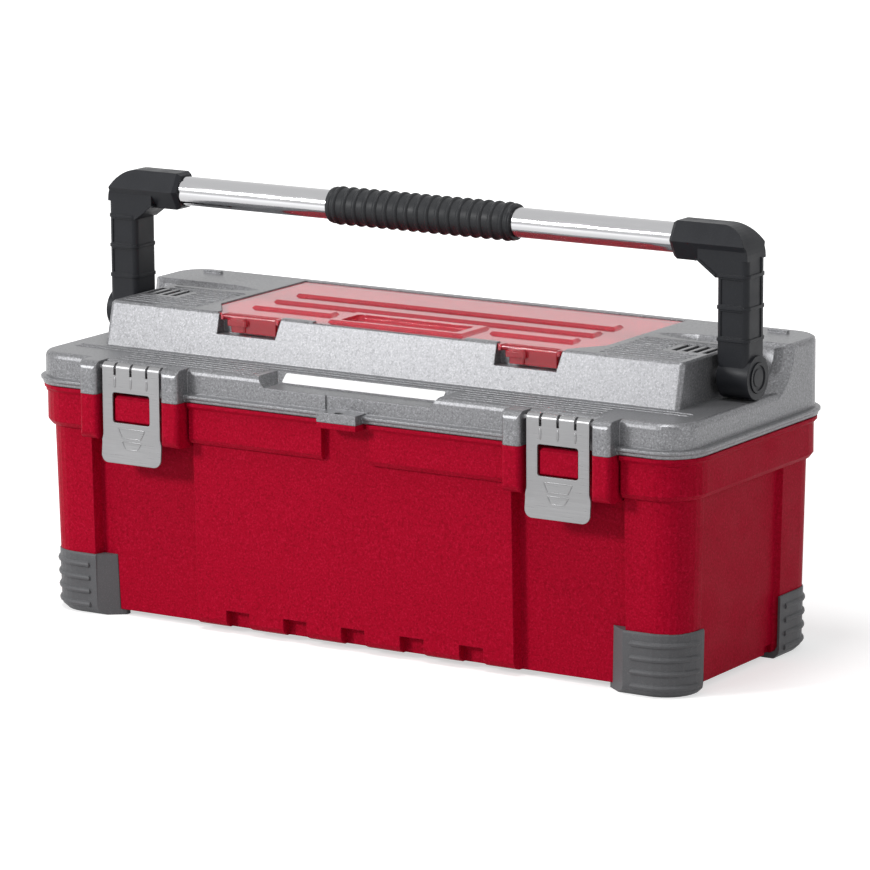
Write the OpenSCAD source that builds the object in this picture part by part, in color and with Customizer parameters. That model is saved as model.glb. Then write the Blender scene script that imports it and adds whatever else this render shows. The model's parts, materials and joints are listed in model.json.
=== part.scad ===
// Cantilever tool box: a moulded tub with a rear-hinged lid, metal latches, a folding bar handle,
// a see-through organizer cover, and a tray that swings up and back as the lid opens.
// Millimetres. +X is the box's right, -Y its front, +Z up. The origin is on the ground, midway.

/* [Overall] */
// Width over the lid's lip
box_w = 646; // [620:1:680]
// Depth over the lid's lip
box_d = 250; // [244:1:264]
// Height of the joint line between tub and lid
rim_z = 197; // [192:1:206]
// Corner radius of the lid's lip, in plan
lip_r = 36; // [32:1:40]

/* [Tub] */
// Wall thickness of the tub
tub_wall = 3; // [2.5:0.1:3.4]
// Floor thickness of the tub
tub_floor = 3; // [2.5:0.1:4]
// Height of the tub's underside above the ground
underside_z = 5; // [4:0.5:7]
// Height of the collar band below the joint line
collar_h = 35; // [30:1:40]
// How far the collar stands in from the lip
collar_in = 4; // [3:0.5:5]
// How far the wall below the collar stands in from the lip
wall_in_top = 10; // [9:0.5:11]
// How far the wall's foot stands in from the lip
wall_in_foot = 13.5; // [12:0.5:15]
// Depth of the panels sunk in the front and back under the latches
panel_d = 10; // [7:0.5:11]
// Depth of the panel sunk in each side
side_panel_d = 4.5; // [4:0.5:7]
// How far the raised middle of the front ends before the middle of a latch
middle_gap = 52; // [50:1:54]
// Number of notches along the bottom of the front and back
notch_n = 9; // [5:2:9]
// Distance from notch to notch
notch_pitch = 57.5; // [52:0.5:58]
// Width of a notch
notch_w = 23; // [16:1:26]
// Height of a notch above the tub's underside
notch_h = 15; // [10:1:16]
// Depth of a notch into the wall
notch_d = 9; // [6:0.5:10]

/* [Feet] */
// Height of a corner foot
foot_h = 53; // [45:1:60]
// Thickness of a foot outside the tub's wall
foot_t = 2.2; // [1.8:0.1:3]
// Number of ribs on a foot
foot_rib_n = 4; // [2:1:4]
// Height of a rib on a foot
foot_rib_h = 5.6; // [4:0.2:6]
// How far a rib stands out from a foot
foot_rib_out = 1.9; // [1.2:0.1:2.2]

/* [Lid] */
// Wall thickness of the lid
lid_wall = 2.8; // [2.4:0.1:3.2]
// Height of the lid's lip bead
lip_h = 7; // [6.5:0.5:8]
// How far the lid's wall stands in from its lip
lip_out = 6; // [5:0.5:7]
// Height of the ledge above the joint line
ledge_h = 28; // [26:1:30]
// Height of the raised housing above the ledge
housing_h = 37; // [35:1:42]
// Room for a handle arm between the housing's end and the lip
arm_room = 42; // [41:0.5:44]
// Depth of the ledge in front of the housing
front_ledge = 52; // [50:1:56]
// Forward lean of the housing's front, over its height
housing_lean = 11; // [8:1:14]
// Depth of the finger recess in the front ledge
finger_d = 9; // [6:0.5:11]
// Half width of the finger recess, at its floor
finger_half_w = 81; // [70:1:90]
// Number of slots beside each handle arm
slot_n = 4; // [2:1:4]
// Width of a slot
slot_w = 5.6; // [4:0.2:6]
// Length of a slot
slot_l = 28; // [20:1:30]

/* [Hinge] */
// Radius of the hinge knuckles
knuckle_r = 6; // [5:0.25:6.25]
// Radius of the hinge pin
hinge_pin_r = 2.5; // [2:0.25:3]
// Distance of each hinge from the box's side
hinge_in = 133; // [115:1:150]
// Width of the tub's two outer knuckles
tub_knuckle_w = 16; // [12:1:20]
// Width of the lid's middle knuckle
lid_knuckle_w = 36; // [28:1:44]

/* [Latches] */
// Width of a latch plate
latch_w = 58; // [52:0.5:59]
// Distance of each latch from the box's side
latch_in = 115; // [114:0.5:116]
// Thickness of a latch plate
latch_t = 1.6; // [1.2:0.1:2]
// Width of the window in a latch
window_w = 38; // [32:1:40]
// Height of the window in a latch
window_h = 26; // [22:1:28]
// Radius of a latch pin
latch_pin_r = 2; // [1.5:0.1:2.4]
// Wall round a latch pin
latch_curl = 2.6; // [2:0.1:2.8]
// Height of a latch, top to bottom
latch_h = 85; // [80:1:90]

/* [Organizer] */
// How far the organizer cover ends before the housing's end
cover_in = 91; // [89:1:100]
// Thickness of the organizer cover
cover_t = 2.4; // [2:0.1:2.6]
// Height of the ribs on the cover
cover_rib_h = 2.2; // [1:0.1:2.4]
// Depth of the organizer insert
insert_h = 29; // [24:1:31]
// Wall thickness of the organizer insert
insert_wall = 1.8; // [1.5:0.1:2.4]
// Depth of the organizer's front row
front_row_d = 66; // [60:1:72]
// Number of compartments in the organizer's front row
front_cells = 5; // [3:1:6]
// Number of compartments in the organizer's back row
back_cells = 3; // [2:1:5]
// Width of a cover latch
flap_w = 52; // [46:1:54]
// Height of a cover latch
flap_h = 12.5; // [11:0.5:13]

/* [Handle] */
// Height of the handle bar above its pivots
handle_h = 108; // [105:1:112]
// Height of the pivots above the ledge
pivot_up = 18.5; // [18:0.5:19.5]
// Distance of the pivots behind the middle
pivot_y = 3.5; // [2:0.5:5]
// Outside radius of the handle bar
bar_r = 12.5; // [11:0.5:13]
// Wall thickness of the handle bar
bar_wall = 1.5; // [1:0.1:2]
// Radius of the grip at its ribs
grip_r = 16.4; // [15.5:0.1:16.6]
// Half length of the grip
grip_half_l = 90; // [80:1:100]
// Number of ribs on the grip
grip_rib_n = 17; // [9:2:17]
// Width of a handle arm, seen from the front
arm_w = 28.5; // [26:0.5:30]
// Depth of a handle arm, front to back
arm_d = 31; // [28:0.5:32]
// Radius of the boss at the foot of an arm
boss_r = 18; // [16.5:0.5:18]
// Radius of a handle pivot
pivot_r = 6; // [5:0.25:7]
// Number of bands round a handle arm
band_n = 3; // [1:1:3]

/* [Tray] */
// Room between the tray's end and the box's side
tray_room = 50; // [50:1:54]
// Room between the tray's front and the box's front
tray_room_front = 32.1; // [31:0.1:42]
// Height of the cantilever tray
tray_h = 45; // [40:1:46]
// Wall thickness of the tray
tray_wall = 2.2; // [1.8:0.1:3]
// Number of compartments in the tray's back row
tray_cells = 5; // [3:1:6]
// Depth of the tray's back row
tray_row_d = 58; // [50:1:66]
// Length of a swing arm between its pivots
swing_l = 79; // [76:1:80]
// Width of a swing arm
swing_w = 15; // [12:1:17]
// Thickness of the steel swing arms and brackets
steel_t = 2.5; // [2:0.1:3]
// Radius of the rivets at the tray's pivots
rivet_r = 3; // [2.5:0.1:3.4]

/* [Fits] */
// Running clearance of a pin in its hole
run_gap = 0.08; // [0.05:0.01:0.1]
// Gap between fixed pieces
seat_gap = 0.2; // [0.15:0.05:0.3]
// Gap between pieces that move past each other
move_gap = 0.8; // [0.6:0.1:1]

/* [Hidden] */
$fn = 48;
eps = 0.02;
slice = 0.2;
far = 60;                                   // how far a cutting block runs past what it cuts

half_w = box_w / 2;
half_d = box_d / 2;

// Tub
collar_z = rim_z - collar_h;
collar_r = lip_r;
collar_edge = 4;                            // chamfer along the collar's lower edge
rim_flange = 6;                             // height of the flange under the lid's lip
tub_r = 30;
draft = atan((wall_in_foot - wall_in_top) / (collar_z - underside_z));
foot_edge = 6;                              // chamfer round the tub's lower edge
skirt_t = notch_d + 1;                      // how far the skirt under the floor reaches in behind the notches
pillar_w = 54;                              // width of the corner pillars along the front
side_pillar_front = 38;                     // and along the sides
side_pillar_rear = 65;
latch_bay_half = half_w - pillar_w - 11;    // outer edge of the sunk front panel
tongue_h = 5;
tub_top = rim_z - seat_gap;
tongue_t = 2.2;

// Lid
ledge_z = rim_z + ledge_h;
top_z = ledge_z + housing_h;
lid_half_w = half_w - lip_out;
housing_half_w = half_w - arm_room;
lid_half_d = half_d - lip_out;
lid_r = lip_r - lip_out - 4;
lip_low_h = 3.1;                            // lower band of the lip, under its bead
lip_step = 1.8;
ledge_edge = 5;                             // rounding of the ledge's outer edge
housing_y0 = -lid_half_d + front_ledge;     // the housing's foot, at the front
housing_y1 = housing_y0 + housing_lean;     // the housing's front edge at the top
cove_r = housing_h;                         // the hollow behind each arm, up to the rear platform
cove_y = pivot_y + 14.5;
housing_r = 3.5;
slot_pitch = 9.4;
finger_lean = 8;
finger_y = -lid_half_d + 22;

// Posts that hold the latches
post_w = 17.2;
post_out = 16;                              // how far the posts stand out from the lid's wall
post_h = 39;                                // length of the tub's part of a post
post_round = 8;
post_edge = 4;                              // rounding of a post's upright edges
post_y = -lid_half_d - post_out;
bay_half_w = latch_w / 2 + 4;               // half of the gap between two posts

// Hinge
hinge_x = half_w - hinge_in;
hinge_y = half_d + 4;
hinge_z = rim_z + 3;
knuckle_gap = 0.5;

// Latches
latch_x = half_w - latch_in;
middle_half_w = latch_x - middle_gap;
latch_r = latch_pin_r + latch_curl;
latch_sink = 5;                             // how far the latches lie behind the posts' front
latch_pin_y = post_y + latch_sink + latch_r;
latch_pin_z = ledge_z - 5;
latch_front_y = latch_pin_y - latch_r;
latch_low_z = latch_pin_z + latch_r - latch_h;
window_z = latch_pin_z - 33;
latch_flare = 1.5;
latch_wide = 1.2;                           // how far the grip end widens on each side
latch_corner = 7;
window_r = 2.5;
lug_gap = 1.4;
catch_gap = 0.4;                            // gap between a latch and the tub's lug behind it

// Padlock eye
eye_half_w = 19;
eye_out = 15;
eye_hole_r = 4;
eye_y = -lid_half_d - 10;
eye_lid_t = 8;
eye_tub_t = 5;

// Organizer
recess_gap = 0.5;
cover_half_w = housing_half_w - cover_in;
well_half_w = cover_half_w - 5;
cover_y0 = housing_y1 + 1.5;
cover_pin_r = 2;
cover_barrel_r = 3;
cover_axis_y = lid_half_d - 13;
cover_z = top_z - 3.4;                      // underside of the cover
cover_axis_z = cover_z - 0.4;
well_y0 = housing_y1 + 9;
well_y1 = cover_axis_y - 6;
insert_z = cover_z - 0.6 - insert_h;
well_floor = 2;
row_split_y = well_y0 + front_row_d;
flap_in = 53;                               // the cover's latches, from the cover's ends
flap_x = cover_half_w - flap_in;
corner_w = 20;                              // the cover's front corners are cut off at a slant
corner_d = 34;
island_in = 116;
island_x0 = cover_half_w - island_in;       // fixed pads of the lid between the cover's latches
pocket_in = 128;                            // the finger pocket, from the cover's ends
flap_t = 2.6;
notch_half = flap_w / 2 + 5;
flap_axis_y = cover_y0 + 1;
flap_axis_z = cover_z;
flap_barrel_r = 2.6;
flap_room = 18;                             // depth of the notches below the housing's top
knob_in = 5;
knob_w = 19.5;

// Handle
pivot_z = ledge_z + pivot_up;
bar_z = pivot_z + handle_h;
arm_in = housing_half_w + 4;              // inner face of the arms
arm_out = arm_in + arm_w;
boss_in = arm_in + 2;
boss_out = arm_out + 2;
sleeve_r = bar_r + 3.2;                     // to the flats of the sleeves
sleeve_l = 22;                              // length of bar held in each arm
sleeve_end = arm_in - 43;
bar_half_l = sleeve_end + sleeve_l;
pivot_head_r = 9;
head_room = 8;                              // depth of the pocket for a pivot's head and cap
cap_r = 12.5;
cap_t = 2.4;
pivot_boss_l = 12;
pivot_boss_r = 10;
grip_end = 8;                               // plain length at each end of the grip

// Tray
tray_half_w = half_w - tray_room;

// Tray linkage: lid pivot, tray pivot on the lid, swing arm pivot on the tub, tray pivot on the arm.
// The two links are parallel and as long as each other, so the tray stays level.
link_rise = 4;
link_y = sqrt(swing_l * swing_l - link_rise * link_rise);
link_shift_y = -35;
link_shift_z = -30;
tray_pivot_y = hinge_y - link_y;
tray_pivot_z = hinge_z + link_rise;
swing_base_y = hinge_y + link_shift_y;
swing_base_z = hinge_z + link_shift_z;
swing_end_y = tray_pivot_y + link_shift_y;
swing_end_z = tray_pivot_z + link_shift_z;
tray_top_z = rim_z - 2;
tray_z = tray_top_z - tray_h;
tray_y1 = tray_pivot_y + 7;
tray_y0 = tray_room_front - half_d;
tray_d = tray_y1 - tray_y0;
tray_floor = 2;
tray_r = 8;
ear_r = 8;
link_x = tray_half_w + 1;                   // inner face of the swing arms and brackets
tub_r_in = tub_r - tub_wall;

// ---------------------------------------------------------------- shapes

// Flat rectangle with rounded corners, centred
module round_rect(w, d, r) {
    square([w - 2 * r, d], center = true);
    square([w, d - 2 * r], center = true);
    for (sx = [-1, 1], sy = [-1, 1])
        translate([sx * (w / 2 - r), sy * (d / 2 - r)]) circle(r);
}

module slab(w, d, r, z, h) {
    translate([0, 0, z]) linear_extrude(h) round_rect(w, d, r);
}

module corner_discs(w, d, r, z, h) {
    translate([0, 0, z]) linear_extrude(h)
        for (sx = [-1, 1], sy = [-1, 1])
            translate([sx * (w / 2 - r), sy * (d / 2 - r)]) circle(r, $fn = 32);
}

// Block with rounded corners whose outline follows steps of [height, inset, straight run]
module stepped_block(hw, hd, r, steps) {
    hull() for (s = steps)
        corner_discs(2 * (hw - s[1]), 2 * (hd - s[1]), max(r - s[1], 2), s[0], len(s) > 2 ? s[2] : slice);
}

function round_steps(z, r) = [for (a = [30 : 30 : 90]) [z + r * sin(a), r * (1 - cos(a))]];

module x_rod(r, x0, x1, y, z) {
    translate([x0, y, z]) rotate([0, 90, 0]) cylinder(r = r, h = x1 - x0);
}

module z_rod(r, x, y, z0, z1) {
    translate([x, y, z0]) cylinder(r = r, h = z1 - z0);
}

module block(x0, x1, y0, y1, z0, z1) {
    translate([x0, y0, z0]) cube([x1 - x0, y1 - y0, z1 - z0]);
}

// Outline in Y and Z, run along X
module x_profile(x0, x1, points) {
    translate([x0, 0, 0]) rotate([90, 0, 90]) linear_extrude(x1 - x0) polygon(points);
}

// Outline in X and Z, run along Y
module y_profile(y0, y1, points) {
    translate([0, y1, 0]) rotate([90, 0, 0]) linear_extrude(y1 - y0) polygon(points);
}

// Plate with rounded corners across Y, seen from the front
module y_plate(w, h, r, y0, y1, z) {
    translate([0, y1, z]) rotate([90, 0, 0]) linear_extrude(y1 - y0) round_rect(w, h, r);
}

module both_sides() {
    children();
    mirror([1, 0, 0]) children();
}

module side(s) {
    if (s < 0) mirror([1, 0, 0]) children();
    else children();
}

// Local frame on a tub wall: x along the wall, -y out of it, z up its slope, from the wall's foot
module on_wall(turn, half) {
    rotate([0, 0, turn]) translate([0, -(half - wall_in_foot), underside_z])
        rotate([draft, 0, 0]) children();
}

// ---------------------------------------------------------------- tub

module tub_outline(out) {
    stepped_block(half_w + out, half_d + out, tub_r + out + wall_in_top, [
        [underside_z, wall_in_foot + foot_edge],
        [underside_z + foot_edge * 0.35, wall_in_foot + foot_edge * 0.3],
        [underside_z + foot_edge, wall_in_foot],
        [collar_z + eps, wall_in_top]]);
}

// Cut from x0 to x1 with sloping sides, in a wall's frame
module sunk_panel(x0, x1, depth, z1) {
    lean = 2.5;
    translate([0, 0, -far]) linear_extrude(z1 + far)
        polygon([[x0, depth], [x0 - lean, 0], [x0 - lean, -far], [x1 + lean, -far], [x1 + lean, 0], [x1, depth]]);
}

// The panels sunk under the latches and in the sides; grown, they are the walls behind them
module tub_panels(grow) {
    panel_x0 = middle_half_w + 2;
    for (back = [0, 1])
        mirror([0, back, 0]) both_sides() on_wall(0, half_d)
            sunk_panel(panel_x0 - grow, latch_bay_half + grow, panel_d + grow,
                       back == 0 ? rim_z + far : collar_z - underside_z);
    both_sides() on_wall(90, half_w)
        sunk_panel(-(half_d - wall_in_top - side_pillar_front) - grow, half_d - wall_in_top - side_pillar_rear + grow,
                   side_panel_d + grow, collar_z - underside_z);
}

module tub_cavity() {
    stepped_block(half_w - tub_wall, half_d - tub_wall, tub_r + wall_in_top - tub_wall, [
        [underside_z + notch_h + tub_floor, wall_in_foot],
        [collar_z + tub_wall, wall_in_top, 0.5]]);
    slab(2 * (half_w - collar_in - tub_wall), 2 * (half_d - collar_in - tub_wall),
         collar_r - tub_wall, collar_z + tub_wall, collar_h);
}

// Room under the floor, inside the notched skirt
module tub_underside() {
    slab(2 * (half_w - wall_in_foot - tub_wall - skirt_t), 2 * (half_d - wall_in_foot - tub_wall - skirt_t),
         tub_r - skirt_t, underside_z - 1, notch_h + 1);
}

module tub_notches() {
    for (turn = [0, 180], i = [0 : notch_n - 1])
        on_wall(turn, half_d)
            translate([(i - (notch_n - 1) / 2) * notch_pitch - notch_w / 2, -far, -far])
                cube([notch_w, far + notch_d, far + notch_h]);
    both_sides() on_wall(90, half_w)
        for (y = [-(half_d - wall_in_top - side_pillar_front) + 1, half_d - wall_in_top - side_pillar_rear - 13])
            translate([y, -far, -far]) cube([12, far + notch_d, far + notch_h / 2]);
}

// Half-width gap in the collar above the padlock eye's tub half, and its backing wall
module collar_gap(grow) {
    block(-eye_half_w - 4 - grow, eye_half_w + 4 + grow, -half_d - far,
          -(half_d - wall_in_top) + grow, collar_z - far, rim_z + far);
}

// Collar band with its chamfered lower edge, and the flange that runs under the lid's lip
module tub_collar() {
    stepped_block(half_w, half_d, collar_r + collar_in, [
        [collar_z, collar_in + 3],
        [collar_z + collar_edge, collar_in, tub_top - collar_z - collar_edge]]);
    stepped_block(half_w, half_d, collar_r + collar_in, [
        [rim_z - rim_flange, collar_in + 0.5],
        [rim_z - rim_flange / 2, 1.2, rim_flange / 2 - seat_gap]]);
}

// Plan of the post beside a latch, with rounded front edges, from the front to back_y
module post_plan(s, e, back_y) {
    x0 = s * latch_x + e * (bay_half_w + post_w / 2) - post_w / 2;
    translate([x0, post_y + post_edge]) square([post_w, back_y - post_y - post_edge]);
    translate([x0 + post_edge, post_y]) square([post_w - 2 * post_edge, post_edge + 1]);
    for (x = [x0 + post_edge, x0 + post_w - post_edge]) translate([x, post_y + post_edge]) circle(post_edge);
}

module tub_posts() {
    back_y = -(half_d - wall_in_top - panel_d) + 1;
    for (s = [-1, 1], e = [-1, 1]) intersection() {
        translate([0, 0, rim_z - post_h - 1]) linear_extrude(post_h + 2) post_plan(s, e, back_y);
        x_profile(s * latch_x + e * (bay_half_w + post_w / 2) - post_w, s * latch_x + e * (bay_half_w + post_w / 2) + post_w,
                  concat([[back_y, tub_top], [post_y, tub_top]],
                         [for (a = [0 : 15 : 90]) [post_y + post_round * (1 - cos(a)), rim_z - post_h + post_round * (1 - sin(a))]],
                         [[back_y, rim_z - post_h]]));
    }
}

module tub_lugs() {
    for (s = [-1, 1])
        translate([s * latch_x, 0, 0])
            x_profile(-window_w / 2 + lug_gap, window_w / 2 - lug_gap, [
                [-(half_d - wall_in_top - panel_d) + 1, window_z - window_h / 2 + lug_gap],
                [latch_front_y + latch_t + catch_gap, window_z - window_h / 2 + lug_gap],
                [latch_front_y + latch_t + catch_gap, rim_z - 3],
                [latch_front_y + latch_t + catch_gap + 2, rim_z - 0.6],
                [-(half_d - wall_in_top - panel_d) + 1, rim_z - 0.6]]);
}

module tub_hinges() {
    for (s = [-1, 1], e = [-1, 1])
        translate([s * hinge_x + e * (lid_knuckle_w + tub_knuckle_w + 2 * knuckle_gap) / 2, 0, 0]) {
            x_rod(knuckle_r, -tub_knuckle_w / 2, tub_knuckle_w / 2, hinge_y, hinge_z);
            x_profile(-tub_knuckle_w / 2, tub_knuckle_w / 2, [
                [half_d - collar_in - 1, rim_z - 18], [half_d - collar_in, rim_z - 18],
                [hinge_y + knuckle_r * 0.8, hinge_z - knuckle_r * 0.6], [hinge_y, hinge_z],
                [half_d - collar_in - 1, rim_z - 4]]);
        }
}

// Bosses inside the tub that carry the swing arms
module swing_bosses() {
    intersection() {
        both_sides()
            x_rod(9, link_x + steel_t + move_gap, half_w, swing_base_y, swing_base_z);
        slab(2 * (half_w - collar_in - 1.5), 2 * (half_d - collar_in - 1.5), collar_r - 1.5,
             collar_z + collar_edge - 1, collar_h / 2);
    }
}

module tub() {
    color("firebrick") difference() {
        union() {
            difference() {
                union() {
                    tub_outline(0);
                    tub_collar();
                }
                tub_panels(0);
                tub_notches();
                tub_underside();
                collar_gap(0);
                difference() {
                    tub_cavity();
                    tub_panels(tub_wall);
                    collar_gap(tub_wall);
                }
            }
            difference() {
                union() {
                    tongue_ring(move_gap, rim_z - 6, 6 + tongue_h);
                    tongue_ring(-lid_wall, rim_z - 6, 6 - seat_gap);
                }
                tongue_ring(move_gap + tongue_t, rim_z - 7, 8 + tongue_h);
                tongue_gaps();
            }
            tub_posts();
            tub_lugs();
            tub_hinges();
            swing_bosses();
        }
        x_rod(hinge_pin_r, -half_w, half_w, hinge_y, hinge_z);
        for (s = [-1, 1])
            x_rod(knuckle_r + 1, s * hinge_x - lid_knuckle_w / 2 - knuckle_gap,
                  s * hinge_x + lid_knuckle_w / 2 + knuckle_gap, hinge_y, hinge_z);
        both_sides()
            x_rod(rivet_r, link_x, link_x + steel_t + move_gap + 12, swing_base_y, swing_base_z);
    }
}

// The tub's leaf of the padlock eye
module padlock_tab() {
    color("firebrick") difference() {
        eye_plate(rim_z - eye_tub_t, tub_top, -lid_half_d - seat_gap);
        z_rod(eye_hole_r, 0, eye_y, 0, top_z);
    }
}

module tongue_ring(in, z, h) {
    slab(2 * (lid_half_w - lid_wall - in), 2 * (lid_half_d - lid_wall - in), lid_r - lid_wall - in, z, h);
}

// The tongue that seals the lid stops behind the latches
module tongue_gaps() {
    for (s = [-1, 1], e = [-1, 1])
        translate([s * latch_x, e * half_d, 0])
            cube([2 * (bay_half_w + post_w + 8), 60, 2 * rim_z + 4 * tongue_h], center = true);
}

// One leaf of the padlock eye, from the wall out
module eye_plate(z0, z1, back_y) {
    block(-eye_half_w, eye_half_w, -lid_half_d - eye_out, back_y, z0, z1);
}

// ---------------------------------------------------------------- feet

function foot_inset(z) = wall_in_foot - foot_t - (z - underside_z) * tan(draft);

// Band round the foot from z0 to z1, standing out by steps of [share of height, out]
module foot_band(z0, z1, steps) {
    stepped_block(half_w, half_d, tub_r + wall_in_foot, [for (s = steps)
        let (z = z0 + s[0] * (z1 - z0 - slice)) [z, foot_inset(z) - s[1]]]);
}

// Upright bar with a rounded end, to give the ribs rounded ends
module rib_bar(end, z, l) {
    r = foot_rib_h / 2;
    translate([end + r, z]) circle(r);
    translate([end + r, z - r]) square([l, 2 * r]);
}

// Plan of a foot whose side is side_l long; its slanted end reaches into the panel under the latch
module foot_plan(side_l) {
    front_x = latch_bay_half + 0.5;
    front_y = -(half_d - wall_in_foot + foot_t);
    side_y = -(half_d - wall_in_top - side_l);
    polygon([[front_x - 20, front_y + 15], [front_x, front_y], [front_x + 4, -half_d], [half_w, -half_d],
             [half_w, side_y], [half_w - 40, side_y], [front_x - 20, front_y + 20]]);
}

// Foot at the right front corner
module foot(side_l) {
    rib_step = (foot_h - 6.5) / foot_rib_n;
    front_x = latch_bay_half + 0.5;
    side_y = -(half_d - wall_in_top - side_l);
    color("dimgray") difference() {
        intersection() {
            union() {
                foot_band(0, foot_h, [[0, -5], [0.08, -0.6], [0.15, 0], [0.97, 0], [1, -0.8]]);
                for (i = [0 : foot_rib_n - 1])
                    let (z = 8.3 + rib_step * i) intersection() {
                        foot_band(z - foot_rib_h / 2, z + foot_rib_h / 2,
                                  [[0, -0.5], [0.2, foot_rib_out * 0.65], [0.5, foot_rib_out],
                                   [0.8, foot_rib_out * 0.65], [1, -0.5]]);
                        rotate([90, 0, 0]) linear_extrude(half_d) rib_bar(front_x + 7, z, pillar_w + 14);
                        rotate([90, 0, -90]) translate([0, 0, -half_w]) linear_extrude(half_w)
                            rib_bar(-side_y + 8, z, side_l + 14);
                    }
            }
            linear_extrude(foot_h) foot_plan(side_l);
        }
        difference() {
            tub_outline(seat_gap);
            on_wall(0, half_d)
                sunk_panel(latch_bay_half - 40, latch_bay_half - seat_gap, panel_d - seat_gap, collar_z);
        }
    }
}

// ---------------------------------------------------------------- lid

module lid_shell() {
    stepped_block(half_w, half_d, lip_r, [
        [rim_z, lip_step + 0.7], [rim_z + 0.8, lip_step, lip_low_h - 0.7]]);
    stepped_block(half_w, half_d, lip_r, [
        [rim_z + lip_low_h, 1], [rim_z + lip_low_h + 0.9, 0, lip_h - lip_low_h - 2.1],
        [rim_z + lip_h - 0.8, 0.9], [rim_z + lip_h - slice, 3]]);
    stepped_block(lid_half_w, lid_half_d, lid_r,
        concat([[rim_z, 0, ledge_h - ledge_edge]], round_steps(ledge_z - ledge_edge - slice, ledge_edge)));
    intersection() {
        stepped_block(lid_half_w, lid_half_d, lid_r, [
            [rim_z, 0, top_z - 4 - rim_z], [top_z - 1.4, 0.8], [top_z - slice, 3]]);
        difference() {
            block(-half_w, half_w, cove_y, half_d, rim_z, top_z + 1);
            cove(0);
        }
    }
    housing(0);
}

// Hollow behind each arm, flaring out towards the lid's sides
module cove(grow) {
    x_rod(cove_r + grow, -half_w - 1, half_w + 1, cove_y, top_z);
    both_sides() translate([0, cove_y, top_z]) rotate([0, 90, 0]) {
        translate([0, 0, lid_half_w - 15]) cylinder(r1 = cove_r - 0.2 + grow, r2 = cove_r + 2.4 + grow, h = 8);
        translate([0, 0, lid_half_w - 7 - eps]) cylinder(r1 = cove_r + 2.4 + grow, r2 = cove_r + 9 + grow, h = 8);
    }
}

// The raised middle of the lid; grown inwards, it is the room inside it
module housing(in) {
    hull() for (s = [[ledge_z - 8, 0, 0], [top_z - 2, 0.5, (housing_h - 2) / housing_h], [top_z - slice, 2, 1]])
        translate([0, 0, s[0] - (s[0] > ledge_z ? in : 0)]) linear_extrude(slice)
            for (sx = [-1, 1])
                let (y = housing_y0 + max(housing_lean * s[2], 0) + s[1] + in) {
                    translate([sx * (housing_half_w - housing_r - s[1] - in), y + housing_r]) circle(housing_r, $fn = 32);
                    translate([sx * (housing_half_w - housing_r - s[1] - in), cove_y + cove_r])
                        circle(housing_r, $fn = 32);
                }
}

module finger_recess(grow) {
    intersection() {
        x_profile(-half_w, half_w, [
            [-half_d - far, ledge_z - finger_d - grow], [finger_y + grow, ledge_z - finger_d - grow],
            [finger_y + finger_d * 1.2 + grow, ledge_z + 1], [-half_d - far, ledge_z + 1]]);
        y_profile(-half_d - far, half_d, [
            [-finger_half_w - grow, ledge_z - finger_d - grow], [finger_half_w + grow, ledge_z - finger_d - grow],
            [finger_half_w + finger_lean + grow, ledge_z + 1], [-finger_half_w - finger_lean - grow, ledge_z + 1]]);
    }
}

// Shallow trough across the top, in line with the hollow behind each arm
module troughs(grow) {
    fade = 34;
    r = 16;
    both_sides() {
        x_rod(r + grow, cover_half_w + 7 + fade, half_w, cove_y + 29, top_z + 10);
        translate([cover_half_w + 7, cove_y + 29, top_z + 10]) rotate([0, 90, 0])
            cylinder(r1 = 10 + grow, r2 = r + grow, h = fade + eps);
    }
}

module lid_room() {
    slab(2 * (lid_half_w - lid_wall), 2 * (lid_half_d - lid_wall), lid_r - lid_wall, rim_z - 1, ledge_h + 1 - lid_wall);
    housing(lid_wall);
    difference() {
        slab(2 * (lid_half_w - lid_wall), 2 * (lid_half_d - lid_wall), lid_r - lid_wall,
             ledge_z - 8, housing_h + 8 - lid_wall);
        block(-half_w, half_w, -half_d, cove_y, ledge_z - 9, top_z);
        cove(lid_wall);
    }
}

module lid_posts() {
    for (s = [-1, 1], e = [-1, 1]) intersection() {
        translate([0, 0, rim_z]) linear_extrude(ledge_h + 1) post_plan(s, e, -lid_half_d + 7);
        x_profile(s * latch_x + e * (bay_half_w + post_w / 2) - post_w, s * latch_x + e * (bay_half_w + post_w / 2) + post_w,
                  concat([[-lid_half_d + lid_wall, rim_z], [post_y, rim_z]],
                         [for (a = [0 : 15 : 90]) [post_y + post_round * (1 - cos(a)), ledge_z - post_round * (1 - sin(a))]],
                         [[-lid_half_d + 6, ledge_z], [-lid_half_d + lid_wall, ledge_z - 1]]));
    }
}

module lid_hinges() {
    for (s = [-1, 1])
        translate([s * hinge_x, 0, 0]) {
            x_rod(knuckle_r, -lid_knuckle_w / 2, lid_knuckle_w / 2, hinge_y, hinge_z);
            x_profile(-lid_knuckle_w / 2, lid_knuckle_w / 2, [
                [lid_half_d - 1, rim_z + 1], [hinge_y, hinge_z - 1], [hinge_y + 2, hinge_z + knuckle_r * 0.9],
                [lid_half_d - 1, rim_z + 16]]);
        }
}

module pivot_bosses() {
    both_sides()
        x_rod(pivot_boss_r, housing_half_w - pivot_boss_l, housing_half_w - 1, pivot_y, pivot_z);
}

// The organizer cover's outline, grown by g
module cover_plan(g) {
    hw = cover_half_w + g;
    difference() {
        polygon([[-hw, cover_axis_y + g], [-hw, cover_y0 + corner_d], [-hw + corner_w, cover_y0 + 6],
                 [-hw + corner_w, cover_y0 - g], [hw - corner_w, cover_y0 - g], [hw - corner_w, cover_y0 + 6],
                 [hw, cover_y0 + corner_d], [hw, cover_axis_y + g]]);
        for (s = [-1, 1])
            translate([s * (island_x0 + flap_x - notch_half) / 2, cover_y0])
                square([flap_x - notch_half - island_x0 - 2 * g, 2 * (6 - g)], center = true);
    }
}

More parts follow.
